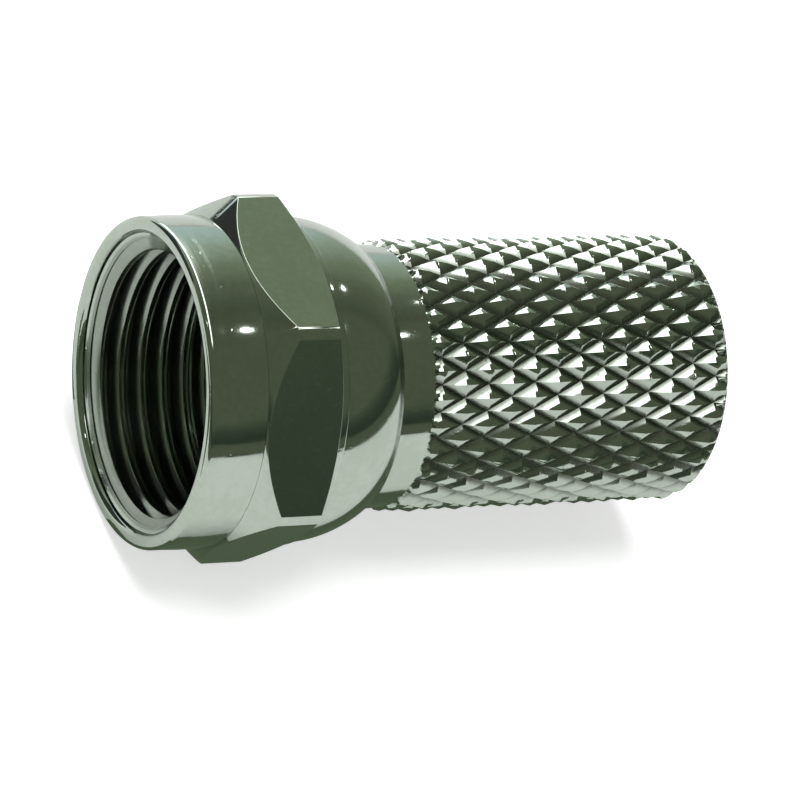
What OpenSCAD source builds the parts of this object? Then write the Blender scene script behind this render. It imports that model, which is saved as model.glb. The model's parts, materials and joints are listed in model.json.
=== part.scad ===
// Twist-on coaxial plug with a hexagonal coupling nut and a diamond-knurled cable sleeve.
// The plug's axis lies along X. The nut's mouth is at X = 0 and the cable enters at the far end.
// One flat of the hexagon faces straight down, as the plug lies at rest.

/* [Coupling nut] */
// Length of the nut from its mouth to its rolled rear rim
nut_length = 7.4; // [7:0.1:9]
// Diameter of the plain round skirt at the mouth
skirt_d = 11; // [10.6:0.05:11.1]
// Radius on the skirt's outer edge at the mouth
skirt_edge_r = 0.2; // [0.1:0.05:0.35]
// Diameter of the plain counterbore at the mouth
mouth_d = 9.86; // [9.6:0.02:10.2]
// Length of the counterbore's wall
mouth_wall = 0.24; // [0.1:0.02:0.3]
// Distance from the mouth to the thread's crests, down the lead-in cone behind the counterbore
mouth_depth = 0.45; // [0.35:0.05:0.5]
// Bore over the crests of the 3/8 inch jack thread
thread_bore_d = 8.74; // [8.6:0.02:8.9]
// Length of the threaded bore, from the mouth
thread_depth = 4.8; // [4:0.1:5]

/* [Hexagon] */
// Width across the hexagon's flats
hex_af = 11.11; // [10.9:0.01:11.5]
// Diameter over the hexagon's turned corners
hex_corner_d = 12.6; // [12.3:0.05:12.8]
// Distance from the mouth to the foot of the hexagon's front chamfer
hex_front = 2.05; // [1.6:0.05:2.4]
// Distance from the mouth to the foot of the hexagon's rear chamfer
hex_back = 4.7; // [4.4:0.05:5]
// Front chamfer, from the plane across the axis
hex_front_chamfer = 45; // [35:1:50]
// Rear chamfer, from the plane across the axis
hex_back_chamfer = 26; // [15:1:35]

/* [Rolled rear rim] */
// Diameter of the land behind the hexagon
land_d = 11.04; // [10.9:0.02:11.1]
// Width of that land
land_width = 0.25; // [0.15:0.05:0.4]
// Diameter where the rounded rim starts
dome_d = 10.9; // [10.7:0.05:10.95]
// Diameter over the rim's end
rim_d = 9.34; // [9.3:0.02:9.6]
// Radius of the rim's rounded outline
dome_r = 4.2; // [3:0.1:7]
// Diameter of the chamber that holds the sleeve's flange
chamber_d = 9.6; // [9.3:0.05:9.7]
// Length of that chamber's plain wall
chamber_length = 1.4; // [1:0.1:1.8]

/* [Cable sleeve] */
// Distance from the nut's mouth to the sleeve's cable end
plug_length = 20.05; // [17:0.05:24]
// Diameter of the smooth collar that the nut turns on
collar_d = 8.84; // [8.8:0.02:8.96]
// Chamfer on the flange's contact edge
flange_chamfer = 0.15; // [0.05:0.05:0.3]
// Bore for the cable's inner insulation
core_bore_d = 5; // [4.2:0.1:5.6]
// Bore for the cable's jacket, over the crests of the gripping thread
jacket_bore_d = 6.7; // [6:0.1:7]
// Thickness of the web between the flange's face and the jacket bore
web_length = 3.4; // [2.5:0.1:4]
// Chamfer at the cable entry, inside
entry_chamfer = 0.35; // [0.2:0.05:0.5]
// Chamfer at the sleeve's rear edge, outside
rear_chamfer = 0.32; // [0.15:0.01:0.4]

/* [Diamond knurl] */
// Diameter over the diamonds
knurl_d = 9.26; // [9.1:0.02:9.5]
// Distance from the nut's mouth to the start of the knurl
knurl_start = 8.65; // [8.2:0.05:9.2]
// Distance from the nut's mouth to the middle of the first whole ring of diamonds
knurl_phase = 9.84; // [9:0.02:10.4]
// Grooves of each hand around the sleeve
knurl_starts = 30; // [24:1:34]
// Length of one diamond along the sleeve, from groove to groove
diamond_length = 1.76; // [1.5:0.02:2]
// Depth of the grooves
knurl_depth = 0.3; // [0.2:0.02:0.34]
// Share of each diamond's width that its flattened top keeps
knurl_top = 0.25; // [0.2:0.01:0.5]
// Rise of each diamond's crown over its top's corners
knurl_crown = 0.03; // [0.01:0.01:0.06]

/* [Running clearances] */
// Radial clearance between the nut and the sleeve
spin_gap = 0.06; // [0.04:0.01:0.09]
// End clearance of the flange in its chamber, at each face
end_gap = 0.06; // [0.04:0.01:0.12]

/* [Hidden] */
$fn = 96;
nickel = [0.62, 0.66, 0.58];

// Overshoot of a cutting shape past the face that it opens
open_end = 1;

// The chamber's end and the flange's back are cut at 45 degrees
rim_bore_d = collar_d + 2 * spin_gap;
chamber_end = thread_depth + chamber_length;
rim_bore_start = chamber_end + (chamber_d - rim_bore_d) / 2;
land_end = hex_back + land_width;

flange_d = chamber_d - 2 * spin_gap;
flange_face = thread_depth + end_gap;
flange_back = chamber_end - end_gap;
jacket_bore_start = flange_face + web_length;

// The jacket bore ends in the cone of a 118 degree drill
drill_cone = (jacket_bore_d - core_bore_d) / 2 / tan(59);

// Neighbouring rows of diamonds are half a step apart around the sleeve and half a diamond apart
// along it. The rows start inside the collar and run on past the cable end; a turned envelope
// then cuts them to length, which leaves the outer rows cut through as on a real bar.
groove_r = knurl_d / 2 - knurl_depth;
steps = 2 * knurl_starts;
half_step = 360 / steps;
row_pitch = diamond_length / 2;
lead_rows = ceil((knurl_phase - knurl_start) / row_pitch) + 1;
first_row = knurl_phase - lead_rows * row_pitch;
rows = ceil((plug_length - first_row) / row_pitch) + 1;
// The knurl's lead-in cone starts this far inside the collar's edge
lead_in_lap = 0.02;
lead_in_angle = 58;
// Spare radius of the envelope over the diamonds
knurl_spare = 0.1;

// Lays a shape turned around Z along X, with its bottom at X = 0
module along_axis() {
    rotate([0, 90, 0]) children();
}

// A section is drawn as [radius, distance from the mouth] and turned around the axis
module turned() {
    rotate_extrude() children();
}

// ---- Coupling nut ----

// Centre of the arc of radius r from a to b, on the left of the way from a to b
function arc_centre(a, b, r) =
    let (
        chord = b - a,
        half = norm(chord) / 2,
        left = [-chord.y, chord.x] / norm(chord)
    )
    (a + b) / 2 + left * sqrt(r * r - half * half);

// Solid section of the skirt, with its rounded mouth edge, and of the land behind the hexagon
module skirt_section() {
    difference() {
        square([skirt_d / 2, land_end]);
        translate([skirt_d / 2 - skirt_edge_r, 0]) difference() {
            translate([0, -open_end]) square([open_end, open_end + skirt_edge_r]);
            translate([0, skirt_edge_r]) circle(r = skirt_edge_r);
        }
    }
    translate([0, hex_back]) square([land_d / 2, land_width]);
}

// Solid section of the rim, rolled inwards along one arc from the land to its end
module rim_section() {
    start = [dome_d / 2, land_end];
    end = [rim_d / 2, nut_length];
    intersection() {
        translate(arc_centre(start, end, dome_r)) circle(r = dome_r);
        translate([0, land_end - land_width]) square([dome_d / 2, nut_length - land_end + land_width]);
    }
}

// Hexagon with its corners turned round and chamfered towards the skirt and the land
module hexagon() {
    front_foot = [skirt_d / 2, hex_front];
    back_foot = [land_d / 2, hex_back];
    front_rise = (hex_corner_d - skirt_d) / 2 * tan(hex_front_chamfer);
    back_rise = (hex_corner_d - land_d) / 2 * tan(hex_back_chamfer);
    intersection() {
        translate([0, 0, hex_front]) linear_extrude(hex_back - hex_front)
            rotate(30) circle(d = hex_af / cos(30), $fn = 6);
        turned() polygon([
            [0, hex_front],
            front_foot,
            [hex_corner_d / 2, hex_front + front_rise],
            [hex_corner_d / 2, hex_back - back_rise],
            back_foot,
            [0, hex_back]
        ]);
    }
}

// Everything that is bored out of the nut, from the mouth to the rim
module nut_bore() {
    turned() polygon([
        [0, -open_end],
        [mouth_d / 2, -open_end],
        [mouth_d / 2, mouth_wall],
        [thread_bore_d / 2, mouth_depth],
        [thread_bore_d / 2, thread_depth],
        [chamber_d / 2, thread_depth],
        [chamber_d / 2, chamber_end],
        [rim_bore_d / 2, rim_bore_start],
        [rim_bore_d / 2, nut_length + open_end],
        [0, nut_length + open_end]
    ]);
}

module coupling_nut() {
    color(nickel) along_axis() difference() {
        union() {
            turned() skirt_section();
            turned() rim_section();
            hexagon();
        }
        nut_bore();
    }
}

// ---- Cable sleeve ----

// Point of the knurl's grid: row j along the axis, half step m around it
function grid_point(j, m, r) =
    let (angle = m * half_step)
    [r * cos(angle), r * sin(angle), first_row + j * row_pitch];

// One ring of diamonds is centred on knurl_phase with a diamond at m = 0, and the next ones lie
// half a step round from it in turn. The grid's two end rows stay at the depth of the grooves.
function ring_shift(j) = (j + lead_rows) % 2;
function is_centre(j, m) = (m + ring_shift(j)) % 2 == 0;
function is_diamond(j, m) = is_centre(j, m) && j > 0 && j < rows;

// Numbers of the grid's points, and of each diamond's four top corners
function grid_id(j, m) = j * steps + (m + steps) % steps;
function top_id(j, m, corner) =
    (rows + 1) * steps + ((j - 1) * knurl_starts + floor(m / 2)) * 4 + corner;

// Faces of one diamond: a crowned top of four faces and four flanks down to the grooves
function diamond_faces(j, m) =
    let (
        feet = [grid_id(j + 1, m), grid_id(j, m + 1), grid_id(j - 1, m), grid_id(j, m - 1)],
        top = [for (corner = [0:3]) top_id(j, m, corner)],
        crown = grid_id(j, m)
    )
    [for (k = [0:3]) let (n = (k + 1) % 4) each [
        [crown, top[k], top[n]],
        [feet[k], feet[n], top[n]],
        [feet[k], top[n], top[k]]
    ]];

// Faces of the flat half diamonds at the near and at the far end
function near_end_faces(m) = is_centre(0, m)
    ? [
        [grid_id(0, m), grid_id(1, m), grid_id(0, m + 1)],
        [grid_id(0, m - 1), grid_id(1, m), grid_id(0, m)]
    ]
    : [];
function far_end_faces(m) = is_centre(rows, m)
    ? [
        [grid_id(rows, m), grid_id(rows, m + 1), grid_id(rows - 1, m)],
        [grid_id(rows, m), grid_id(rows - 1, m), grid_id(rows, m - 1)]
    ]
    : [];

// Knurled bar: crossed grooves of both hands leave rings of crowned diamonds
module knurled_bar() {
    last = steps - 1;
    top_r = knurl_d / 2 - knurl_crown;
    grid = [
        for (j = [0:rows], m = [0:last]) grid_point(j, m, is_diamond(j, m) ? knurl_d / 2 : groove_r)
    ];
    tops = [
        for (j = [1:rows - 1], i = [0:knurl_starts - 1])
            let (m = 2 * i + ring_shift(j))
            each [
                grid_point(j + knurl_top, m, top_r),
                grid_point(j, m + knurl_top, top_r),
                grid_point(j - knurl_top, m, top_r),
                grid_point(j, m - knurl_top, top_r)
            ]
    ];
    faces = [
        for (j = [1:rows - 1], i = [0:knurl_starts - 1]) each diamond_faces(j, 2 * i + ring_shift(j)),
        for (m = [0:last]) each near_end_faces(m),
        for (m = [0:last]) each far_end_faces(m),
        [for (m = [0:last]) grid_id(0, m)],
        [for (m = [0:last]) grid_id(rows, last - m)]
    ];
    polyhedron(points = concat(grid, tops), faces = faces, convexity = 4);
}

// Turned outline that the knurl keeps to: a lead-in cone behind the collar and the rear chamfer
module knurl_envelope() {
    spare_r = knurl_d / 2 + knurl_spare;
    collar_r = collar_d / 2;
    cone_end = knurl_start + lead_in_lap + (spare_r - collar_r) / tan(lead_in_angle);
    cone_start = knurl_start + lead_in_lap - (collar_r - groove_r + knurl_spare) / tan(lead_in_angle);
    turned() polygon([
        [0, cone_start],
        [groove_r - knurl_spare, cone_start],
        [spare_r, cone_end],
        [spare_r, plug_length - rear_chamfer - knurl_spare],
        [knurl_d / 2 - rear_chamfer, plug_length],
        [0, plug_length]
    ]);
}

// Flange that turns in the nut's chamber, and the collar in its rim
module flange_and_collar() {
    turned() polygon([
        [0, flange_face],
        [flange_d / 2 - flange_chamfer, flange_face],
        [flange_d / 2, flange_face + flange_chamfer],
        [flange_d / 2, flange_back],
        [collar_d / 2, flange_back + (flange_d - collar_d) / 2],
        [collar_d / 2, knurl_start],
        [0, knurl_start]
    ]);
}

// Bores for the cable: its insulated core through the web, its jacket from the rear
module cable_bore() {
    turned() polygon([
        [0, flange_face - open_end],
        [core_bore_d / 2, flange_face - open_end],
        [core_bore_d / 2, jacket_bore_start],
        [jacket_bore_d / 2, jacket_bore_start + drill_cone],
        [jacket_bore_d / 2, plug_length - entry_chamfer],
        [jacket_bore_d / 2 + entry_chamfer, plug_length],
        [jacket_bore_d / 2 + entry_chamfer, plug_length + open_end],
        [0, plug_length + open_end]
    ]);
}

module cable_sleeve() {
    color(nickel) along_axis() difference() {
        union() {
            flange_and_collar();
            intersection() {
                knurled_bar();
                knurl_envelope();
            }
        }
        cable_bore();
    }
}

coupling_nut();
cable_sleeve();
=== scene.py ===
"""Twist-on coaxial plug: a nickel-plated coupling nut that spins on a diamond-knurled cable sleeve."""

import json
import logging
import math
from dataclasses import dataclass, replace
from enum import Enum
from typing import Any, Callable, Sequence

import bpy
import numpy as np
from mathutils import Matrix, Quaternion, Vector

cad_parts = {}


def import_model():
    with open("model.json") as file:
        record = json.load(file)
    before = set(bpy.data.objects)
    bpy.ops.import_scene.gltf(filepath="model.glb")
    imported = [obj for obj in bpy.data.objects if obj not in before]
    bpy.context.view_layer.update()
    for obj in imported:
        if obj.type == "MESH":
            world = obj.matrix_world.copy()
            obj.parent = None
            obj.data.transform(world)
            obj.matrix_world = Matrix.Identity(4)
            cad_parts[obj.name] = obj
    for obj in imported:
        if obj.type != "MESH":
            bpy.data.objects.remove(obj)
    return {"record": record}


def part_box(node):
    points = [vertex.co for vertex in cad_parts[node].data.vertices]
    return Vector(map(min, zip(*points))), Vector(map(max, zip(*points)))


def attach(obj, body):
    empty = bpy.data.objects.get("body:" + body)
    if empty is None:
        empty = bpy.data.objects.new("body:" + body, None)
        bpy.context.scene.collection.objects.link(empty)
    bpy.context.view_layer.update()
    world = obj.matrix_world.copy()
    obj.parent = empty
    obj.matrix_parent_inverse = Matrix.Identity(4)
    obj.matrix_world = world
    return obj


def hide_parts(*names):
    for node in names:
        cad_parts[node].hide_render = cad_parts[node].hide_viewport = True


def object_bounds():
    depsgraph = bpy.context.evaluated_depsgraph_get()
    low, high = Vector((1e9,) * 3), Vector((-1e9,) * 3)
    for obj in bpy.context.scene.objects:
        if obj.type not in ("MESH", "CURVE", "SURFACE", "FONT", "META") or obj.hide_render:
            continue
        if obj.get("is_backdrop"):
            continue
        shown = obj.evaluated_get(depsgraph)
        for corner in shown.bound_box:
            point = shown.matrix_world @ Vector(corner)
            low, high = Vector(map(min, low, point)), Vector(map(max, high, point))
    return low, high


log = logging.getLogger("plug")

MM = 0.001
FULL_TURN = 2 * math.pi
MERGE_DISTANCE = 0.0005 * MM
SLACK = 0.01  # of the tests that pick points and faces by their place or normal
WHITE = (1.0, 1.0, 1.0, 1.0)
Pair = tuple[float, float]
Triple = tuple[float, float, float]
Colour = Triple


# ---- Shader wiring ----


class Wire:
    """One output socket of a shader node; arithmetic on it adds Math nodes."""

    def __init__(self, board: "Board", socket: bpy.types.NodeSocket) -> None:
        """Keeps the socket and the board that its node stands on.

        Args:
            board: The board that new nodes are added to.
            socket: The output socket.
        """
        self.board = board
        self.socket = socket

    def math(self, operation: str, *operands: "Wire | float") -> "Wire":
        """Adds one Math node.

        Args:
            operation: The Math node's operation.
            operands: The node's inputs, in order.

        Returns:
            The node's value.
        """
        return self.board.add(
            "ShaderNodeMath", {"operation": operation}, dict(enumerate(operands))
        )

    def __add__(self, other: "Wire | float") -> "Wire":
        """Sum."""
        return self.math("ADD", self, other)

    def __radd__(self, other: float) -> "Wire":
        """Sum, number first."""
        return self.math("ADD", other, self)

    def __sub__(self, other: "Wire | float") -> "Wire":
        """Difference."""
        return self.math("SUBTRACT", self, other)

    def __rsub__(self, other: float) -> "Wire":
        """Difference, number first."""
        return self.math("SUBTRACT", other, self)

    def __mul__(self, other: "Wire | float") -> "Wire":
        """Product."""
        return self.math("MULTIPLY", self, other)

    def __rmul__(self, other: float) -> "Wire":
        """Product, number first."""
        return self.math("MULTIPLY", other, self)

    def size(self) -> "Wire":
        """The value without its sign."""
        return self.math("ABSOLUTE", self)

    def larger(self, other: "Wire | float") -> "Wire":
        """The larger of two values."""
        return self.math("MAXIMUM", self, other)


class Board:
    """A node tree under construction."""

    def __init__(self, tree: bpy.types.NodeTree) -> None:
        """Clears the tree.

        Args:
            tree: The material's or the world's node tree.
        """
        self.tree = tree
        tree.nodes.clear()

    def add(
        self,
        kind: str,
        settings: dict[str, Any] | None = None,
        inputs: dict[str | int, Any] | None = None,
        output: str | int = 0,
    ) -> Wire:
        """Adds a node.

        Args:
            kind: The node's type.
            settings: The node's own properties, set first. "stops" gives a ramp's stops.
            inputs: Values or wires of the input sockets, by name or number.
            output: The output socket that is returned.

        Returns:
            The chosen output, or the node's first input where it has no output.
        """
        node = self.tree.nodes.new(kind)
        for name, value in (settings or {}).items():
            if name == "stops":
                self._set_stops(node.color_ramp, value)
            else:
                setattr(node, name, value)
        for name, value in (inputs or {}).items():
            if isinstance(value, Wire):
                self.tree.links.new(value.socket, node.inputs[name])
            else:
                node.inputs[name].default_value = value
        return Wire(self, node.outputs[output] if node.outputs else node.inputs[0])

    @staticmethod
    def _set_stops(ramp: bpy.types.ColorRamp, stops: Sequence[tuple[float, Colour]]) -> None:
        """Gives a colour ramp its stops.

        Args:
            ramp: The ramp.
            stops: Position and colour of each stop, in rising order.
        """
        while len(ramp.elements) < len(stops):
            ramp.elements.new(1.0)
        for element, (position, colour) in zip(ramp.elements, stops):
            element.position = position
            element.color = (*colour, 1.0)

    def position(self, scale: Triple = (1.0, 1.0, 1.0)) -> Wire:
        """Object coordinates, stretched by a Mapping node.

        Args:
            scale: Factor along each axis.

        Returns:
            The scaled position vector.
        """
        place = self.add("ShaderNodeTexCoord", output="Object")
        return self.add("ShaderNodeMapping", inputs={"Vector": place, "Scale": scale})

    def noise(self, scale: Triple, detail: float, roughness: float) -> Wire:
        """Noise over the piece.

        Args:
            scale: Cells per metre along each axis.
            detail: Octaves of finer noise.
            roughness: Strength of the finer octaves.

        Returns:
            The noise value, about 0 to 1.
        """
        return self.add(
            "ShaderNodeTexNoise",
            {"noise_dimensions": "3D"},
            {"Vector": self.position(scale), "Scale": 1.0, "Detail": detail, "Roughness": roughness},
            output="Fac",
        )

    def band(self, value: Wire, low: float, high: float) -> Wire:
        """Smooth step from 0 at low to 1 at high.

        Args:
            value: The value that is stepped.
            low: Where the step starts.
            high: Where the step ends.

        Returns:
            The step, 0 to 1.
        """
        return self.add(
            "ShaderNodeMapRange",
            {"interpolation_type": "SMOOTHSTEP"},
            {"Value": value, "From Min": low, "From Max": high},
        )

    def edge(self, value: Wire, middle: float, blur: float) -> Wire:
        """Smooth step from 0 to 1 around a middle.

        Args:
            value: The value that is stepped.
            middle: Where the step is half done.
            blur: How far it reaches to both sides.

        Returns:
            The step, 0 to 1.
        """
        return self.band(value, middle - blur, middle + blur)

    def dot(self, first: Wire, second: Triple) -> Wire:
        """Dot product with a fixed vector.

        Args:
            first: A vector.
            second: The fixed vector.

        Returns:
            The product.
        """
        return self.add(
            "ShaderNodeVectorMath", {"operation": "DOT_PRODUCT"}, {0: first, 1: second}, "Value"
        )

    def blend(self, factor: Wire | float, first: Any, second: Any) -> Wire:
        """Mixes two colours.

        Args:
            factor: Share of the second colour.
            first: Colour or wire.
            second: Colour or wire.

        Returns:
            The mixed colour.
        """
        colours = [c if isinstance(c, Wire) else (*c, 1.0) for c in (first, second)]
        return self.add(
            "ShaderNodeMix",
            {"data_type": "RGBA"},
            {"Factor": factor, 6: colours[0], 7: colours[1]},
            output=2,
        )


def blank_material(name: str) -> tuple[bpy.types.Material, Board]:
    """Starts a material.

    Args:
        name: Its name.

    Returns:
        The material, and the board of its empty node tree.
    """
    made = bpy.data.materials.new(name)
    made.use_nodes = True
    return made, Board(made.node_tree)


def glow_material(name: str, colour: tuple[float, ...], strength: float) -> bpy.types.Material:
    """Builds the material of an evenly glowing prop.

    Args:
        name: Its name.
        colour: The glow's colour.
        strength: The glow's strength.

    Returns:
        The material.
    """
    made, board = blank_material(name)
    glow = board.add("ShaderNodeEmission", None, {"Color": colour, "Strength": strength})
    board.add("ShaderNodeOutputMaterial", None, {"Surface": glow})
    return made


# ---- Finishes ----


@dataclass(frozen=True)
class NickelPlate:
    """Bright nickel over turned brass, with the fine rings that turning leaves.

    Lengths are in millimetres. Scales are cells of noise in a metre.
    """

    name: str
    bright: Colour = (0.54, 0.61, 0.53)
    dull: Colour = (0.49, 0.56, 0.475)
    # Colour of the painted shade in the knurl's grooves and inside the bore.
    painted_shade: Colour = (0.13, 0.14, 0.115)
    roughness: float = 0.055
    roughness_spread: float = 0.05
    dullness_share: float = 0.6
    cloud_share: float = 0.65
    cloud_scale: float = 520.0
    speck_scale: float = 4200.0
    ring_pitch: float = 0.045
    ring_scale: float = 30.0
    ring_depth: float = 0.0006
    wear_edges: Pair = (0.40, 0.62)
    pit_edges: Pair = (0.60, 0.78)
    pit_depth: float = 0.0015
    groove_attribute: str = ""
    # Painted shade at the bottom of the knurl's grooves, with extra roughness there.
    groove_shade_edges: Pair = (0.45, 1.0)
    groove_shade_spread: float = 0.25
    groove_shade_share: float = 0.75
    groove_shade_roughness: float = 0.22
    # Inside the bore: painted shade and extra roughness.
    bore_r: float = 0.0
    bore_edge: float = 0.04
    bore_dimming: float = 0.45
    bore_roughness: float = 0.10

    def painted_groove_shade(self, board: Board, speck: Wire) -> Wire:
        """Painted shade at the bottom of the knurl's grooves.

        Args:
            board: The plating's board.
            speck: Fine noise that breaks up the painted shade's edge.

        Returns:
            The painted shade's share, 0 to 1.
        """
        depth = board.add(
            "ShaderNodeAttribute", {"attribute_name": self.groove_attribute}, output="Fac"
        )
        return board.band(depth + self.groove_shade_spread * (speck - 0.5), *self.groove_shade_edges)

    def bore_mask(self, board: Board) -> Wire:
        """Marks what lies inside the bore, where the colour is darkened as painted shade and the
        roughness raised.

        Args:
            board: The plating's board.

        Returns:
            The mask, 1 in the bore.
        """
        across = {0: board.position((0.0, 1.0, 1.0))}
        from_axis = board.add("ShaderNodeVectorMath", {"operation": "LENGTH"}, across, "Value")
        return 1 - board.band(from_axis, (self.bore_r - self.bore_edge) * MM, self.bore_r * MM)

    def material(self) -> bpy.types.Material:
        """Builds the plating.

        Returns:
            The material.
        """
        made, board = blank_material(self.name)
        cloud = board.noise((self.cloud_scale,) * 3, detail=4.0, roughness=0.65)
        speck = board.noise((self.speck_scale,) * 3, detail=2.0, roughness=0.55)
        ring_scale = (1.0 / (self.ring_pitch * MM), self.ring_scale, self.ring_scale)
        rings = board.noise(ring_scale, detail=3.0, roughness=0.6)
        mottle = cloud * self.cloud_share + speck * (1 - self.cloud_share)
        wear = board.band(mottle, *self.wear_edges)
        colour = board.blend(wear, self.dull, self.bright)
        dullness = self.dullness_share * (1 - wear) + (1 - self.dullness_share) * rings
        rough = self.roughness + self.roughness_spread * dullness
        if self.groove_attribute:
            # Painted shade in the knurl's grooves: darker and rougher the deeper the point lies.
            groove_shade = self.painted_groove_shade(board, speck)
            colour = board.blend(groove_shade * self.groove_shade_share, colour, self.painted_shade)
            rough = rough + self.groove_shade_roughness * groove_shade
        if self.bore_r:
            # Painted shade inside the bore: the colour is pulled toward the shade colour, and the
            # roughness raised.
            inside = self.bore_mask(board)
            colour = board.blend(inside * self.bore_dimming, colour, self.painted_shade)
            rough = rough + self.bore_roughness * inside
        pits = board.band(speck, *self.pit_edges)
        relief = rings * self.ring_depth - pits * self.pit_depth
        bump = board.add(
            "ShaderNodeBump", None, {"Strength": 1.0, "Distance": MM, "Height": relief}, "Normal"
        )
        surface = board.add(
            "ShaderNodeBsdfPrincipled",
            {"distribution": "MULTI_GGX"},
            {"Base Color": colour, "Metallic": 1.0, "Roughness": rough, "Normal": bump},
        )
        board.add("ShaderNodeOutputMaterial", None, {"Surface": surface})
        return made


# ---- Turning, cutting and dressing ----


class Bend(Enum):
    """The side to which an arc of a section swells."""

    OUT = 1
    IN = -1


class Hand(Enum):
    """The hand of a screw thread."""

    RIGHT = 1
    LEFT = -1


@dataclass(frozen=True)
class Step:
    """One step of a turned section, in millimetres: a line, or an arc where it has a radius."""

    x: float
    r: float
    radius: float = 0.0
    bend: Bend = Bend.OUT
    pieces: int = 1


def clear_selection() -> None:
    """Returns to object mode with nothing selected."""
    if bpy.context.object is not None and bpy.context.object.mode != "OBJECT":
        bpy.ops.object.mode_set(mode="OBJECT")
    bpy.ops.object.select_all(action="DESELECT")


def stand(operator: Callable[..., Any], name: str, **settings: Any) -> bpy.types.Object:
    """Adds a basic shape or a lamp.

    Args:
        operator: Blender's operator that adds it.
        name: Its name.
        settings: The operator's settings.

    Returns:
        The object.
    """
    clear_selection()
    operator(**settings)
    made = bpy.context.object
    made.name = name
    return made


class Bench:
    """A mesh that is shaped with Blender's own operators."""

    def __init__(self, piece: bpy.types.Object) -> None:
        """Takes up a mesh object.

        Args:
            piece: The object to work on.
        """
        self.piece = piece

    @property
    def mesh(self) -> bpy.types.Mesh:
        """The object's mesh."""
        return self.piece.data

    @classmethod
    def outline(cls, name: str, steps: Sequence[Step]) -> "Bench":
        """Draws a section by extruding a single point along it.

        Args:
            name: The object's name.
            steps: Where the section starts, then the lines and arcs that it follows.

        Returns:
            The bench, in edit mode.
        """
        here = np.array([steps[0].x, steps[0].r])
        location = (here[0] * MM, 0, here[1] * MM)
        piece = stand(bpy.ops.mesh.primitive_plane_add, name, size=MM, location=location)
        piece.data.name = name
        bench = cls(piece)
        bench.settle()
        bench.edit()
        bpy.ops.mesh.select_mode(type="VERT")
        bpy.ops.mesh.select_all(action="SELECT")
        bpy.ops.mesh.merge(type="CENTER")
        for step in steps[1:]:
            there = np.array([step.x, step.r])
            if step.radius:
                cls._arc(here, there, step)
            else:
                dx, dr = (there - here) * MM
                bpy.ops.mesh.extrude_vertices_move(
                    TRANSFORM_OT_translate={"value": (dx, 0, dr), "orient_type": "GLOBAL"}
                )
            here = there
        return bench

    def settle(self) -> None:
        """Moves the object's place into its mesh."""
        bpy.ops.object.transform_apply(location=True, rotation=True, scale=True)

    def edit(self) -> None:
        """Enters edit mode with nothing else selected."""
        self.rest()
        self.piece.select_set(True)
        bpy.context.view_layer.objects.active = self.piece
        bpy.ops.object.mode_set(mode="EDIT")

    def rest(self) -> None:
        """Returns to object mode, with only this object selected."""
        clear_selection()
        self.piece.select_set(True)
        bpy.context.view_layer.objects.active = self.piece

    @staticmethod
    def _arc(here: np.ndarray, there: np.ndarray, step: Step) -> None:
        """Extrudes the selected point along an arc of the section.

        Args:
            here: Start of the arc, mm.
            there: End of the arc, mm.
            step: The step, for its radius, bend and number of pieces.
        """
        chord = there - here
        across = np.array([-chord[1], chord[0]]) / np.linalg.norm(chord)
        offset = math.sqrt(max(step.radius**2 - float(chord @ chord) / 4, 0.0))
        centre = (here + there) / 2 - across * offset * step.bend.value
        a, b = here - centre, there - centre
        angle = math.atan2(a[1] * b[0] - a[0] * b[1], float(a @ b))
        bpy.ops.mesh.spin(
            steps=step.pieces,
            angle=-angle,
            center=(centre[0] * MM, 0, centre[1] * MM),
            axis=(0, 1, 0),
            use_auto_merge=False,
        )

    def turn(self, columns: int) -> None:
        """Spins the closed section around the axis into a solid.

        Args:
            columns: Number of faces around the axis.
        """
        bpy.ops.mesh.select_all(action="SELECT")
        bpy.ops.mesh.remove_doubles(threshold=MERGE_DISTANCE)
        bpy.ops.mesh.spin(steps=columns, angle=FULL_TURN, center=(0, 0, 0), axis=(1, 0, 0))
        self.weld()

    def weld(self) -> None:
        """Merges doubles and turns every face outwards."""
        bpy.ops.mesh.select_all(action="SELECT")
        bpy.ops.mesh.remove_doubles(threshold=MERGE_DISTANCE)
        bpy.ops.mesh.normals_make_consistent(inside=False)

    def points(self) -> np.ndarray:
        """Reads the mesh.

        Returns:
            A row of x, y and z for each point, mm.
        """
        flat = np.empty(len(self.mesh.vertices) * 3, np.float32)
        self.mesh.vertices.foreach_get("co", flat)
        return flat.reshape(-1, 3).astype(float) / MM

    def select_faces(self, chosen: Callable[[bpy.types.MeshPolygon], bool]) -> None:
        """Selects the faces that a test picks, and enters edit mode.

        Args:
            chosen: The test of one face.
        """
        self.edit()
        bpy.ops.mesh.select_mode(type="FACE")
        bpy.ops.mesh.select_all(action="DESELECT")
        bpy.ops.object.mode_set(mode="OBJECT")
        for face in self.mesh.polygons:
            face.select = chosen(face)
        bpy.ops.object.mode_set(mode="EDIT")

    def apply(self, kind: str, **settings: Any) -> None:
        """Adds a modifier and applies it.

        Args:
            kind: The modifier's type.
            settings: Its properties.
        """
        self.rest()
        modifier = self.piece.modifiers.new(kind.lower(), kind)
        for name, value in settings.items():
            setattr(modifier, name, value)
        bpy.ops.object.modifier_apply(modifier=modifier.name)

    def cut(self, tool: "Bench") -> None:
        """Takes another solid away from this one, and deletes it.

        Args:
            tool: The cutting solid.
        """
        self.apply("BOOLEAN", operation="DIFFERENCE", solver="EXACT", object=tool.piece)
        bpy.data.objects.remove(tool.piece)

    def smooth(self, degrees: float) -> None:
        """Shades smooth, with creases above an angle.

        Args:
            degrees: The least angle that stays sharp.
        """
        self.rest()
        bpy.ops.object.shade_smooth_by_angle(angle=math.radians(degrees))

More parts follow.
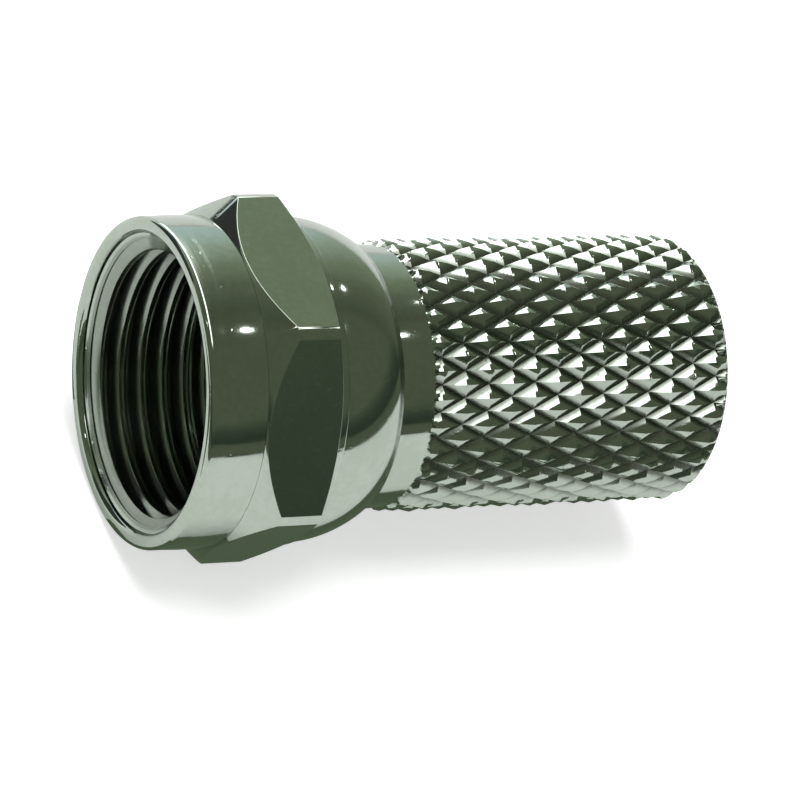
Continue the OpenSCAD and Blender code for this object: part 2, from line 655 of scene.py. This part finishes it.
    def dress(self, finish: NickelPlate, body: str, node: str, slot: str) -> None:
        """Gives the finished piece its material and its place in the frame.

        Args:
            finish: The plating.
            body: The body that it rides on.
            node: The solid that it stands for.
            slot: The record's material slot; not used.
        """
        self.mesh.materials.clear()
        self.mesh.materials.append(finish.material())
        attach(self.piece, body)
        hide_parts(node)
        faces = sum(len(face.vertices) - 2 for face in self.mesh.polygons)
        log.info("%s: %d triangles on body %s", self.piece.name, faces, body)


@dataclass(frozen=True)
class ScrewThread:
    """A V thread that is cut into a bore.

    The flank angle is each flank's lean from square to the axis. The start is the middle of the
    first groove, and the overlap is how far the cutting solid stands inside the bore.
    """

    pitch: float
    root_r: float
    bore_r: float
    start: float
    turns: int
    flank_angle: float = 33.0
    root_flat: float = 0.10
    crest_round: float = 0.10
    overlap: float = 0.08
    columns: int = 120
    hand: Hand = Hand.RIGHT

    def section(self) -> list[Step]:
        """Lists the section of the groove: straight flanks that flare into rounded crests.

        Returns:
            The section's steps around the groove's middle; the last one closes it.
        """
        slope = math.radians(self.flank_angle)
        root = self.pitch * self.root_flat / 2
        turned = math.pi / 2 - slope
        flare_x = self.crest_round * math.sin(turned)
        flare_r = self.crest_round * (1 - math.cos(turned))
        knee_r = self.bore_r + flare_r
        knee = root + (self.root_r - knee_r) * math.tan(slope)
        mouth = knee + flare_x
        inner_r = self.bore_r - self.overlap
        return [
            Step(-mouth, inner_r),
            Step(-mouth, self.bore_r),
            Step(-knee, knee_r, self.crest_round, Bend.IN, 4),
            Step(-root, self.root_r),
            Step(root, self.root_r),
            Step(knee, knee_r),
            Step(mouth, self.bore_r, self.crest_round, Bend.IN, 4),
            Step(mouth, inner_r),
            Step(-mouth, inner_r),
        ]

    def cutter(self) -> Bench:
        """Builds the cutting solid: the thread's section, swept along its helix.

        Returns:
            The solid.
        """
        steps = [replace(step, x=self.start + step.x) for step in self.section()]
        bench = Bench.outline("thread_cutter", steps)
        bpy.ops.mesh.select_all(action="SELECT")
        bpy.ops.mesh.remove_doubles(threshold=MERGE_DISTANCE)
        bench.apply(
            "SCREW",
            axis="X",
            angle=FULL_TURN * self.hand.value,
            screw_offset=self.pitch * MM,
            iterations=self.turns,
            steps=self.columns,
            render_steps=self.columns,
            use_merge_vertices=False,
        )
        bench.edit()
        bpy.ops.mesh.select_all(action="SELECT")
        bpy.ops.mesh.fill_holes(sides=0)
        bench.weld()
        bench.rest()
        return bench


# ---- Coupling nut ----


@dataclass
class CouplingNut:
    """Hexagonal nut with a plain skirt at its mouth and a rim rolled in behind the hexagon.

    Every place is a distance from the nut's mouth, mm.
    """

    length: float
    across_flats: float
    thread_r: float
    skirt_r: float = 5.5
    skirt_edge: float = 0.2
    skirt_crown: float = 13.0
    skirt_end_r: float = 5.48
    crown_start: float = 0.6
    mouth_r: float = 4.93
    mouth_wall: float = 0.28
    mouth_depth: float = 0.60
    lip_round: float = 0.26
    ring_x: float = 0.435
    ring_width: float = 0.09
    ring_cut: float = 0.08
    thread_depth: float = 4.8
    thread_pitch: float = 25.4 / 32
    thread_root_r: float = 9.525 / 2
    thread_start: float = 0.48
    thread_turns: int = 7
    corner_r: float = 6.3
    hex_front: float = 2.05
    hex_back: float = 4.7
    front_chamfer: float = 45.0
    back_chamfer: float = 26.0
    land_r: float = 5.52
    land_width: float = 0.25
    dome_start_r: float = 5.45
    dome_end_r: float = 4.7
    dome_radius: float = 4.2
    rim_r: float = 4.62
    rim_round: float = 0.065
    chamber_r: float = 4.8
    chamber_length: float = 1.4
    rim_bore_r: float = 4.48
    edge_round: float = 0.05
    flat_edge: float = 0.022
    flat_area: float = 4.0
    columns: int = 288
    crease: float = 32.0
    finish: NickelPlate = NickelPlate("nut_nickel", bore_r=4.86)

    def section(self) -> list[Step]:
        """Lists the turned section, from the mouth round the outside and back through the bore.

        Returns:
            The section's steps; the last one closes it.
        """
        front_rise = (self.corner_r - self.skirt_r) * math.tan(math.radians(self.front_chamfer))
        back_rise = (self.corner_r - self.land_r) * math.tan(math.radians(self.back_chamfer))
        land_end = self.hex_back + self.land_width
        chamber_end = self.thread_depth + self.chamber_length
        rim_start = chamber_end + self.chamber_r - self.rim_bore_r
        lead_in_slope = (self.mouth_r - self.thread_r) / (self.mouth_depth - self.mouth_wall)
        ring_r = self.mouth_r - (self.ring_x - self.mouth_wall) * lead_in_slope
        ring_half = self.ring_width / 2
        return [
            Step(0, self.skirt_end_r - self.skirt_edge),
            Step(self.skirt_edge, self.skirt_end_r, self.skirt_edge, Bend.OUT, 8),
            Step(self.crown_start, self.skirt_end_r),
            Step(self.hex_front, self.skirt_end_r, self.skirt_crown, Bend.OUT, 10),
            Step(self.hex_front, self.skirt_r),
            Step(self.hex_front + front_rise, self.corner_r),
            Step(self.hex_back - back_rise, self.corner_r),
            Step(self.hex_back, self.land_r),
            Step(land_end - self.edge_round, self.land_r),
            Step(land_end, self.land_r - self.edge_round, self.edge_round, Bend.OUT, 3),
            Step(land_end, self.dome_start_r),
            Step(self.length - self.edge_round, self.dome_end_r, self.dome_radius, Bend.OUT, 22),
            Step(self.length, self.rim_r, self.rim_round, Bend.OUT, 4),
            Step(self.length, self.rim_bore_r + self.edge_round),
            Step(self.length - self.edge_round, self.rim_bore_r),
            Step(rim_start, self.rim_bore_r),
            Step(chamber_end, self.chamber_r),
            Step(self.thread_depth, self.chamber_r),
            Step(self.thread_depth, self.thread_r),
            Step(self.mouth_depth, self.thread_r),
            Step(self.ring_x + ring_half, ring_r - ring_half * lead_in_slope),
            Step(self.ring_x, ring_r + self.ring_cut),
            Step(self.ring_x - ring_half, ring_r + ring_half * lead_in_slope),
            Step(self.mouth_wall, self.mouth_r),
            Step(self.lip_round, self.mouth_r),
            Step(0, self.mouth_r + self.lip_round, self.lip_round, Bend.OUT, 8),
            Step(0, self.skirt_end_r - self.skirt_edge),
        ]

    def cut_flats(self, bench: Bench) -> None:
        """Mills the six flats, the lowest of them square to the vertical, and eases their edges.

        Args:
            bench: The turned blank, in edit mode.
        """
        half = self.across_flats / 2 * MM
        for k in range(6):
            angle = math.radians(60 * k)
            normal = (0, math.sin(angle), math.cos(angle))
            bpy.ops.mesh.select_all(action="SELECT")
            bpy.ops.mesh.bisect(
                plane_co=[half * n for n in normal],
                plane_no=normal,
                use_fill=True,
                clear_outer=True,
                threshold=MERGE_DISTANCE,
            )
        bench.weld()
        smallest = self.flat_area * MM * MM
        bench.select_faces(lambda face: face.area > smallest and abs(face.normal.x) < SLACK)
        bpy.ops.mesh.region_to_loop()
        bpy.ops.mesh.bevel(
            offset=self.flat_edge * MM,
            offset_type="OFFSET",
            segments=2,
            affect="EDGES",
            clamp_overlap=False,
        )

    def build(self) -> Bench:
        """Builds and dresses the nut.

        Returns:
            The finished nut.
        """
        bench = Bench.outline("nut_body", self.section())
        bench.turn(self.columns)
        self.cut_flats(bench)
        bench.rest()
        thread = ScrewThread(
            pitch=self.thread_pitch,
            root_r=self.thread_root_r,
            bore_r=self.thread_r,
            start=self.thread_start - self.thread_pitch,
            turns=self.thread_turns,
        )
        bench.cut(thread.cutter())
        bench.smooth(self.crease)
        bench.apply("WEIGHTED_NORMAL", mode="FACE_AREA", weight=60, keep_sharp=True)
        bench.dress(self.finish, "nut", "coupling_nut", "nut_plating")
        return bench


# ---- Cable sleeve ----


@dataclass
class Knurl:
    """Diamond pattern that two crossed sets of grooves press into a bar.

    Each diamond is a low pyramid: steep flanks rise from the grooves, and flatter faces take up
    the inner share of its width. Lengths are in millimetres.
    """

    start: float
    end: float
    root_depth: float = 0.30
    starts: int = 30
    period: float = 1.76
    centre_x: float = 9.84
    cells: int = 16
    end_gap: float = 0.3
    face_share: float = 0.52
    face_rise: float = 0.12
    unevenness: float = 0.10
    worn_rings: int = 64
    seed: int = 11

    @property
    def row(self) -> float:
        """Distance between two rows of points, mm."""
        return self.period / self.cells

    def rows(self) -> list[float]:
        """Places of the rows of points between the ends.

        Returns:
            The rows' distances from the nut's mouth, mm.
        """
        first = math.ceil((self.start - self.centre_x) / self.row + self.end_gap)
        last = math.floor((self.end - self.centre_x) / self.row - self.end_gap)
        return [self.centre_x + self.row * k for k in range(first, last + 1)]

    def height(self, x: np.ndarray, turn: np.ndarray) -> np.ndarray:
        """Height over the grooves.

        Args:
            x: Distances from the nut's mouth, mm.
            turn: Angles around the axis, radians.

        Returns:
            Heights, mm, from 0 in the grooves to the full depth on a crest.
        """
        along = (x - self.centre_x) / self.period
        around = turn / FULL_TURN * self.starts
        lanes = (along + around, along - around)
        # A point on a groove counts to the diamond before it.
        numbers = [np.floor(lane + 0.5 - 1e-9).astype(int) for lane in lanes]
        rise = np.full_like(x, self.root_depth)
        for lane, number in zip(lanes, numbers):
            away = np.abs(2 * (lane - number))
            flank = (self.root_depth - self.face_rise) * (1 - away) / (1 - self.face_share)
            face = self.root_depth - self.face_rise * away / self.face_share
            rise = np.minimum(rise, np.minimum(flank, face))
        places = 2 * self.starts
        rng = np.random.default_rng(self.seed)
        worn = 1 - np.abs(rng.normal(0.0, self.unevenness, (self.worn_rings, places)))
        ring, place = sum(numbers) % self.worn_rings, (numbers[0] - numbers[1]) % places
        return np.clip(rise * worn[ring, place], 0.0, self.root_depth)


@dataclass
class CableSleeve:
    """Knurled sleeve that twists over the cable, with a flange that the nut turns against.

    Every place is a distance from the nut's mouth, mm.
    """

    length: float
    jacket_r: float
    core_r: float
    core_ease: float = 0.1
    face_x: float = 4.86
    flange_r: float = 4.74
    flange_back: float = 6.14
    flange_chamfer: float = 0.15
    collar_r: float = 4.42
    collar_start: float = 7.1
    collar_crown: float = 14.0
    collar_end: float = 8.62
    knurl_start: float = 8.65
    knurl_r: float = 4.63
    lead_in_rise: float = 1.6
    web_end: float = 8.26
    drill_cone: float = 0.51
    entry_chamfer: float = 0.35
    rear_chamfer: float = 0.32
    rear_edge: float = 0.02
    rear_fall: float = 0.03
    split_margin: float = 0.05
    grip_start: float = 9.66
    grip_pitch: float = 1.4
    grip_root_r: float = 3.62
    grip_turns: int = 8
    crease: float = 30.0
    finish: NickelPlate = NickelPlate("sleeve_nickel", groove_attribute="groove")

    def section(self, knurl: Knurl) -> list[Step]:
        """Lists the turned section, from the flange's face round the outside and back.

        Args:
            knurl: The knurl, for its rows.

        Returns:
            The section's steps; the last one closes it.
        """
        back_foot = self.flange_back + self.flange_r - self.collar_r
        tip_r = self.knurl_r - self.rear_chamfer
        rear = self.length
        chamfer_rows = [
            Step(rear - self.rear_chamfer * (1 - k / 3), self.knurl_r - self.rear_chamfer * k / 3)
            for k in (1, 2)
        ]
        return [
            Step(self.face_x, self.core_r + self.core_ease),
            Step(self.face_x, self.flange_r - self.flange_chamfer),
            Step(self.face_x + self.flange_chamfer, self.flange_r),
            Step(self.flange_back, self.flange_r),
            Step(back_foot, self.collar_r),
            Step(self.collar_start, self.collar_r),
            Step(self.collar_end, self.collar_r, self.collar_crown, Bend.OUT, 8),
            Step(self.knurl_start, self.collar_r),
            *[Step(x, self.knurl_r) for x in knurl.rows()],
            *chamfer_rows,
            Step(rear - self.rear_edge, tip_r),
            Step(rear, tip_r - self.rear_fall),
            Step(rear, self.jacket_r + self.entry_chamfer),
            Step(rear - self.entry_chamfer, self.jacket_r),
            Step(self.web_end + self.drill_cone, self.jacket_r),
            Step(self.web_end, self.core_r),
            Step(self.face_x + self.core_ease, self.core_r),
            Step(self.face_x, self.core_r + self.core_ease),
        ]

    def press_knurl(self, bench: Bench, knurl: Knurl) -> None:
        """Presses the diamonds into the bar and marks how deep each point lies.

        Args:
            bench: The turned sleeve.
            knurl: The pattern.
        """
        points = bench.points()
        radius = np.hypot(points[:, 1], points[:, 2])
        turn = np.arctan2(-points[:, 1], points[:, 2])
        x = points[:, 0]
        lowest = self.knurl_r - self.rear_chamfer - SLACK
        on_bar = (radius > lowest) & (x > self.knurl_start + SLACK)
        pressed = self.knurl_r - knurl.root_depth + knurl.height(x, turn)
        lead_in = self.collar_r + (x - self.knurl_start) * self.lead_in_rise
        pressed = np.minimum(np.minimum(pressed, lead_in), radius)
        wanted = np.where(on_bar, pressed, radius)
        points[:, 1:] *= (wanted / radius)[:, None]
        bench.mesh.vertices.foreach_set("co", (points * MM).astype(np.float32).ravel())
        # This depth also sets the painted shade in the knurl's grooves.
        depth = np.where(on_bar, np.clip((self.knurl_r - wanted) / knurl.root_depth, 0, 1), 0.0)
        layer = bench.mesh.attributes.new(self.finish.groove_attribute, "FLOAT", "POINT")
        layer.data.foreach_set("value", depth.astype(np.float32))
        bench.mesh.update()

    def split_diamonds(self, bench: Bench, knurl: Knurl) -> None:
        """Splits the knurl's faces along the grooves, so that these stay crisp.

        Args:
            bench: The sleeve.
            knurl: The pattern.
        """
        points = bench.points()
        turns = np.arctan2(-points[:, 1], points[:, 2]) / FULL_TURN
        column = np.round(turns * knurl.starts * knurl.cells)
        row = np.round((points[:, 0] - knurl.centre_x) / knurl.row)
        half = knurl.cells // 2
        rising = np.mod(row + column - half, knurl.cells) == 0
        falling = np.mod(row - column - half, knurl.cells) == 0
        lowest = self.knurl_r - knurl.root_depth - self.split_margin

        def groove_is(face: bpy.types.MeshPolygon, first: int, second: int) -> bool:
            """Tells whether two corners of a face lie on one groove."""
            a, b = face.vertices[first], face.vertices[second]
            return bool((rising[a] and rising[b]) or (falling[a] and falling[b]))

        def on_bar(face: bpy.types.MeshPolygon) -> bool:
            """Tells whether a face is one of the knurl's quads."""
            centre = face.center / MM
            outside = math.hypot(centre.y, centre.z) > lowest
            return len(face.vertices) == 4 and outside and centre.x > self.knurl_start

        bench.select_faces(lambda face: on_bar(face) and groove_is(face, 1, 3))
        bpy.ops.mesh.quads_convert_to_tris(quad_method="FIXED_ALTERNATE")
        bench.select_faces(on_bar)
        bpy.ops.mesh.quads_convert_to_tris(quad_method="FIXED")
        bench.rest()

    def build(self) -> Bench:
        """Builds and dresses the sleeve.

        Returns:
            The finished sleeve.
        """
        knurl = Knurl(self.knurl_start, self.length - self.rear_chamfer)
        bench = Bench.outline("sleeve_body", self.section(knurl))
        bench.turn(knurl.starts * knurl.cells)
        bench.rest()
        self.press_knurl(bench, knurl)
        self.split_diamonds(bench, knurl)
        grip = ScrewThread(
            pitch=self.grip_pitch,
            root_r=self.grip_root_r,
            bore_r=self.jacket_r,
            start=self.grip_start,
            turns=self.grip_turns,
            columns=72,
        )
        bench.cut(grip.cutter())
        bench.smooth(self.crease)
        bench.dress(self.finish, "sleeve", "cable_sleeve", "sleeve_plating")
        return bench


# ---- Studio ----


@dataclass(frozen=True)
class Canopy:
    """Dark studio ceiling that only polished metal sees, paler towards the back of the set.

    The radius is in metres. All the other places and widths are shares of it.
    """

    radius: float = 0.30
    edge: float = 0.015
    front: tuple[tuple[float, Colour], ...] = (
        (0.10, (0.040, 0.054, 0.038)),
        (0.20, (0.060, 0.078, 0.055)),
        (0.30, (0.112, 0.127, 0.088)),
        (0.85, (0.118, 0.132, 0.092)),
        (0.95, (0.092, 0.104, 0.072)),
    )
    back: tuple[tuple[float, Colour], ...] = (
        (0.08, (0.092, 0.106, 0.072)),
        (0.40, (0.148, 0.168, 0.117)),
        (0.62, (0.245, 0.286, 0.208)),
        (0.80, (0.430, 0.500, 0.430)),
        (0.92, (0.620, 0.740, 0.780)),
        (1.00, (0.760, 0.900, 0.970)),
    )
    back_ease: float = 0.16
    strip_normal: Triple = (0.9732, -0.2067, -0.1008)
    strip_half_width: float = 0.135
    strip_blur: float = 0.03
    strip_ends: Pair = (-0.33, 0.985)
    end_blur: float = 0.05
    strip_radiance: float = 3.2

    def build(self) -> bpy.types.Object:
        """Builds the canopy.

        Returns:
            The canopy.
        """
        sphere = bpy.ops.mesh.primitive_uv_sphere_add
        dome = stand(sphere, "studio_canopy", segments=48, ring_count=24, radius=self.radius)
        bench = Bench(dome)
        bench.edit()
        bpy.ops.mesh.select_all(action="SELECT")
        bpy.ops.mesh.bisect(
            plane_co=(0, 0, self.radius * self.edge), plane_no=(0, 0, 1), clear_inner=True
        )
        bench.rest()
        dome.data.materials.append(self.material())
        hide_but_from_metal(dome)
        return dome

    def material(self) -> bpy.types.Material:
        """Builds the canopy's glow: two graded walls and a long overhead lamp.

        Returns:
            The material.
        """
        made, board = blank_material("studio_canopy")
        place = board.position((1 / self.radius,) * 3)
        height = board.add("ShaderNodeSeparateXYZ", None, {0: place}, "Z")
        across = board.add("ShaderNodeSeparateXYZ", None, {0: place}, "Y")
        walls = [
            board.add("ShaderNodeValToRGB", {"stops": stops}, {"Fac": level})
            for stops, level in ((self.front, height), (self.back, across))
        ]
        beside = board.dot(place, self.strip_normal).size()
        strip = (
            (1 - board.edge(beside, self.strip_half_width, self.strip_blur))
            * board.edge(across, self.strip_ends[0], self.end_blur)
            * (1 - board.edge(across, self.strip_ends[1], self.end_blur))
        )
        colour = board.blend(board.band(across, 0.0, self.back_ease), *walls)
        wall_glow = board.add("ShaderNodeEmission", None, {"Color": colour, "Strength": 1.0})
        lamp_glow = board.add("ShaderNodeEmission", None, {"Strength": self.strip_radiance})
        glow = board.add("ShaderNodeMixShader", None, {0: strip, 1: wall_glow, 2: lamp_glow})
        board.add("ShaderNodeOutputMaterial", None, {"Surface": glow})
        return made


@dataclass(frozen=True)
class FrontWall:
    """Low dark wall round the near side of the table, black at its foot. Lengths are metres."""

    radius: float = 0.075
    centre_x: float = 0.020
    top: float = 0.006
    black_foot: float = 0.0016
    foot_blur: float = 0.0002
    paint: Colour = (0.112, 0.127, 0.088)
    foot_paint: Colour = (0.010, 0.013, 0.008)

    def build(self, floor_z: float) -> bpy.types.Object:
        """Builds the wall.

        Args:
            floor_z: Height of the floor, metres.

        Returns:
            The wall.
        """
        wall = stand(
            bpy.ops.mesh.primitive_cylinder_add,
            "studio_front_wall",
            vertices=96,
            radius=self.radius,
            depth=self.top - floor_z,
            end_fill_type="NOTHING",
            location=(self.centre_x, 0, (self.top + floor_z) / 2),
        )
        bench = Bench(wall)
        bench.settle()
        bench.edit()
        bpy.ops.mesh.select_all(action="SELECT")
        bpy.ops.mesh.bisect(plane_co=(0, 0, 0), plane_no=(0, 1, 0), clear_outer=True)
        bench.rest()
        made, board = blank_material("studio_front_wall")
        height = board.add("ShaderNodeSeparateXYZ", None, {0: board.position()}, "Z")
        above = board.edge(height, floor_z + self.black_foot, self.foot_blur)
        colour = board.blend(above, self.foot_paint, self.paint)
        glow = board.add("ShaderNodeEmission", None, {"Color": colour})
        board.add("ShaderNodeOutputMaterial", None, {"Surface": glow})
        wall.data.materials.append(made)
        hide_but_from_metal(wall)
        return wall


@dataclass(frozen=True)
class Card:
    """A flat card that faces the object: a small bright lamp, or a black flag. Metres."""

    name: str
    direction: Triple
    width: float = 0.010
    height: float = 0.010
    distance: float = 0.26
    radiance: float = 13.0

    def hang(self, centre: Vector) -> None:
        """Hangs the card.

        Args:
            centre: The object's centre.
        """
        toward = Vector(self.direction).normalized()
        card = stand(bpy.ops.mesh.primitive_plane_add, self.name, size=1.0)
        card.rotation_mode = "QUATERNION"
        card.scale = (self.width, self.height, 1.0)
        card.rotation_quaternion = toward.to_track_quat("Z", "Y")
        card.location = centre + toward * self.distance
        card.data.materials.append(glow_material(self.name, WHITE, self.radiance))
        hide_but_from_metal(card)


@dataclass(frozen=True)
class ShadeSheet:
    """Painted shade on the table: a dark sheet that only metal shows, so the floor looks shaded in
    reflections from below. Lengths are millimetres.
    """

    name: str
    near: Pair
    far: Pair
    lift: float = 0.02
    # Colour of the painted shade.
    glow: Colour = (0.095, 0.125, 0.080)

    def lay(self, floor_z: float) -> None:
        """Lays the sheet of painted shade.

        Args:
            floor_z: Height of the floor, metres.
        """
        near, far = Vector(self.near) * MM, Vector(self.far) * MM
        middle = (*(near + far) / 2, floor_z + self.lift * MM)
        sheet = stand(bpy.ops.mesh.primitive_plane_add, self.name, size=1.0, location=middle)
        sheet.scale = (*(far - near), 1.0)
        sheet.data.materials.append(glow_material(self.name, (*self.glow, 1.0), 1.0))
        hide_but_from_metal(sheet)


def hide_but_from_metal(prop: bpy.types.Object) -> None:
    """Args:
        prop: The prop.
    """
    prop.visible_camera = False
    prop.visible_diffuse = False
    prop.visible_shadow = False
    prop.visible_transmission = False
    prop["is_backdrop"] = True


@dataclass
class Studio:
    """Pale floor, soft light, dark canopy and the camera.

    The camera's angles are in degrees. Its distance, lens, sensor and aim are in millimetres,
    the aim from the object's centre. The floor's size and the lamp's are in metres.
    """

    floor_size: float = 1.6
    floor_colour: Colour = (0.86, 0.87, 0.86)
    camera_lift: float = 0.60
    metal_lift: float = 0.0
    fill: float = 0.25
    key_energy: float = 2.1
    key_height: float = 0.5
    key_size: float = 0.35
    azimuth: float = -38.2
    elevation: float = 40.48
    roll: float = 25.07
    distance: float = 152.5
    lens: float = 203.34
    sensor: float = 36.0
    aim: Triple = (-0.295, -0.547, -0.645)
    cards: tuple[Card, ...] = (
        Card("glint_near", (0.418, -0.142, 0.897)),
        Card("glint_top", (0.175, 0.086, 0.978)),
        Card("glint_far", (0.545, 0.342, 0.765)),
        Card("glint_mouth", (-0.58, -0.02, 0.82)),
        Card("black_flag", (-0.643, 0.766, 0.20), 0.048, 0.040, 0.06, 0.05),
    )
    # Dark sheets of painted shade on the table, which only metal sees.
    shade_sheets: tuple[ShadeSheet, ...] = (
        ShadeSheet("studio_mat_near", (-0.6, -5.5), (20.6, -1.0)),
        ShadeSheet("studio_mat_far", (-1.2, 4.5), (8.0, 9.5)),
        ShadeSheet("studio_mat_end", (-45.0, -6.0), (-10.5, 9.0)),
    )

    def ray_masks(self, board: Board) -> tuple[Wire, Wire]:
        """Marks camera rays, and rays that metal or glass sends out.

        Args:
            board: The board of the floor or the world.

        Returns:
            The two masks, each 1 for its rays and 0 for the rest.
        """
        names = ("Is Camera Ray", "Is Glossy Ray", "Is Transmission Ray")
        camera, glossy, through = (board.add("ShaderNodeLightPath", output=n) for n in names)
        return camera, glossy.larger(through)

    def light_world(self) -> None:
        """White background, and a soft even light from all round."""
        world = bpy.data.worlds.new("studio_world")
        bpy.context.scene.world = world
        world.use_nodes = True
        board = Board(world.node_tree)
        camera, metal = self.ray_masks(board)
        strength = self.fill + (1 - self.fill) * camera.larger(metal)
        sky = board.add("ShaderNodeBackground", None, {"Color": WHITE, "Strength": strength})
        board.add("ShaderNodeOutputWorld", None, {"Surface": sky})

    def lay_floor(self, height: float) -> None:
        """Lays the pale floor.

        Args:
            height: The floor's height, metres.
        """
        plane = bpy.ops.mesh.primitive_plane_add
        floor = stand(plane, "studio_floor", size=self.floor_size, location=(0, 0, height))
        made, board = blank_material("studio_floor")
        paper = board.add("ShaderNodeBsdfDiffuse", None, {"Color": (*self.floor_colour, 1.0)})
        camera, metal = self.ray_masks(board)
        strength = camera * self.camera_lift + metal * self.metal_lift
        lift = board.add("ShaderNodeEmission", None, {"Color": WHITE, "Strength": strength})
        both = board.add("ShaderNodeAddShader", None, {0: paper, 1: lift})
        board.add("ShaderNodeOutputMaterial", None, {"Surface": both})
        floor.data.materials.append(made)
        floor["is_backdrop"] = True

    def hang_key(self) -> None:
        """Hangs the large soft lamp over the object; polished metal does not show it."""
        place = (0.0, 0.0, self.key_height)
        key = stand(bpy.ops.object.light_add, "key_light", type="AREA", location=place)
        key.data.shape = "DISK"
        key.data.size = self.key_size
        key.data.energy = self.key_energy
        key.visible_glossy = False

    def place_camera(self, centre: Vector) -> None:
        """Creates the camera.

        Args:
            centre: The object's centre.
        """
        turn, tilt = math.radians(self.azimuth), math.radians(self.elevation)
        back = Vector((
            math.sin(turn) * math.cos(tilt),
            -math.cos(turn) * math.cos(tilt),
            math.sin(tilt),
        ))
        lens = bpy.data.cameras.new("view")
        camera = bpy.data.objects.new("view", lens)
        bpy.context.scene.collection.objects.link(camera)
        lens.lens = self.lens
        lens.sensor_width = self.sensor
        lens.clip_start = 0.005
        camera.rotation_mode = "QUATERNION"
        camera.location = centre + Vector(self.aim) * MM + back * self.distance * MM
        level = (-back).to_track_quat("-Z", "Y")
        camera.rotation_quaternion = level @ Quaternion((0, 0, 1), math.radians(self.roll))
        bpy.context.scene.camera = camera

    def build(self, low: Vector, high: Vector) -> None:
        """Sets the studio up around the object.

        Args:
            low: Lowest corner of the object.
            high: Highest corner of the object.
        """
        centre = (low + high) / 2
        self.place_camera(centre)
        self.light_world()
        self.lay_floor(low.z)
        self.hang_key()
        Canopy().build()
        FrontWall().build(low.z)
        for card in self.cards:
            card.hang(centre)
        # Painted shade on the table, for metal only.
        for sheet in self.shade_sheets:
            sheet.lay(low.z)
        bpy.context.scene.view_settings.view_transform = "Standard"


def mount(record: dict[str, Any], name: str) -> dict[str, float]:
    """Finds a mount's sizes in the record.

    Args:
        record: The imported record.
        name: The mount's name.

    Returns:
        Its sizes, mm.
    """
    return next(m["dims"] for m in record["mounts"] if m["name"] == name)


def main() -> None:
    """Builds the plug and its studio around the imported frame."""
    logging.basicConfig(level=logging.INFO, format="%(name)s: %(message)s")
    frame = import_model()
    record = frame["record"]
    solid_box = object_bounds()
    nut_low, nut_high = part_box("coupling_nut")
    sleeve_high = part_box("cable_sleeve")[1]
    CouplingNut(
        length=nut_high.x / MM,
        across_flats=(nut_high.z - nut_low.z) / MM,
        thread_r=mount(record, "jack_thread")["r_mm"],
    ).build()
    CableSleeve(
        length=sleeve_high.x / MM,
        jacket_r=mount(record, "jacket_bore")["r_mm"],
        core_r=mount(record, "core_bore")["r_mm"],
    ).build()
    Studio().build(*solid_box)


if __name__ == "__main__":
    main()
